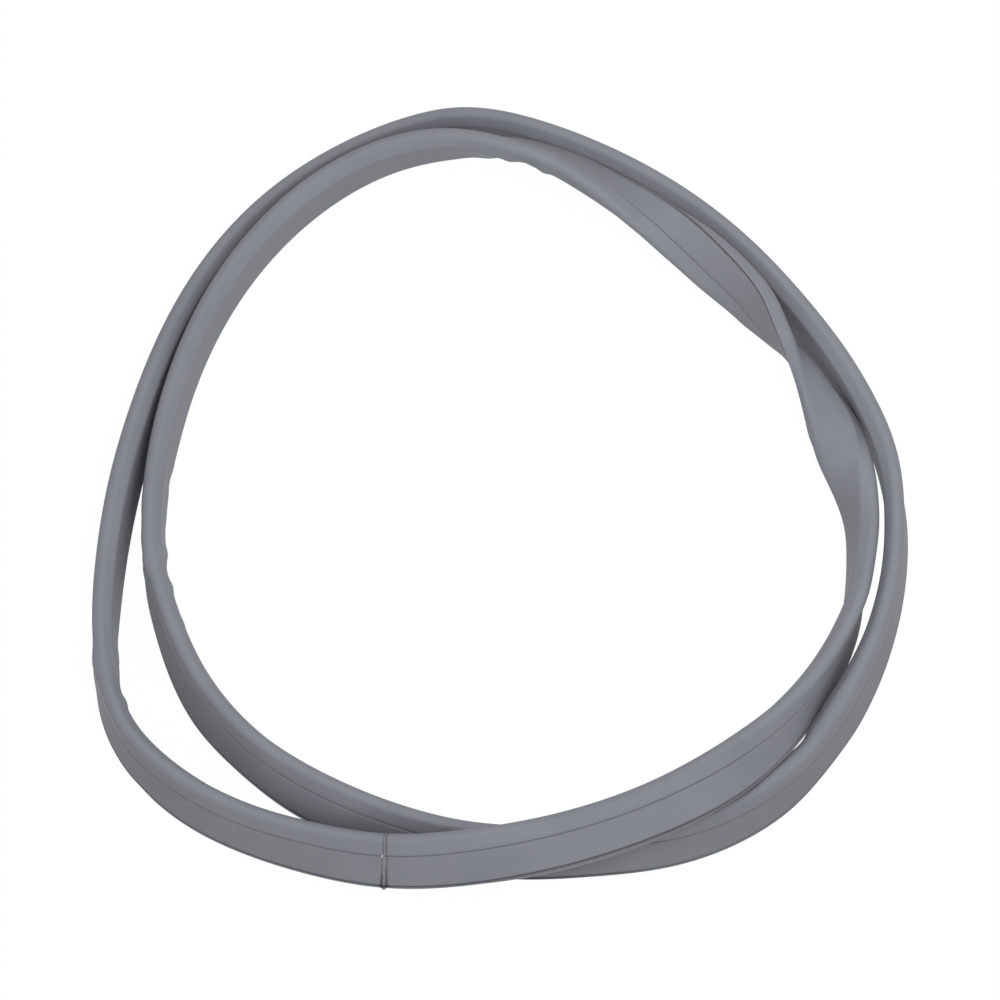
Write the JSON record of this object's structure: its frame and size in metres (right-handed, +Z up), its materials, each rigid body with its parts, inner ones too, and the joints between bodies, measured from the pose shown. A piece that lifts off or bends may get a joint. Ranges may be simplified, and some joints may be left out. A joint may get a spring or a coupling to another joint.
{
  "type": "dryer door seal",
  "caption": "Hollow rubber door seal with a bulb beside a flat flange, its ends glued into a closed loop, laid down coiled on the floor.",
  "frame": {"origin": "middle of the coil's bounding box, on the floor plane", "axes": "+Z up, away from the floor; -Y towards the glued joint at the front; +X to the right in the picture, towards the place where the strip turns over"},
  "size_m": [0.3152, 0.3018, 0.0401],
  "materials": {
    "grey_rubber": "satin grey moulded rubber with faint lines along it",
    "cured_adhesive": "glossy cured adhesive"
  },
  "bodies": {
    "root": {"door_seal": "grey_rubber", "splice_adhesive": "cured_adhesive"}
  },
  "joints": []
}
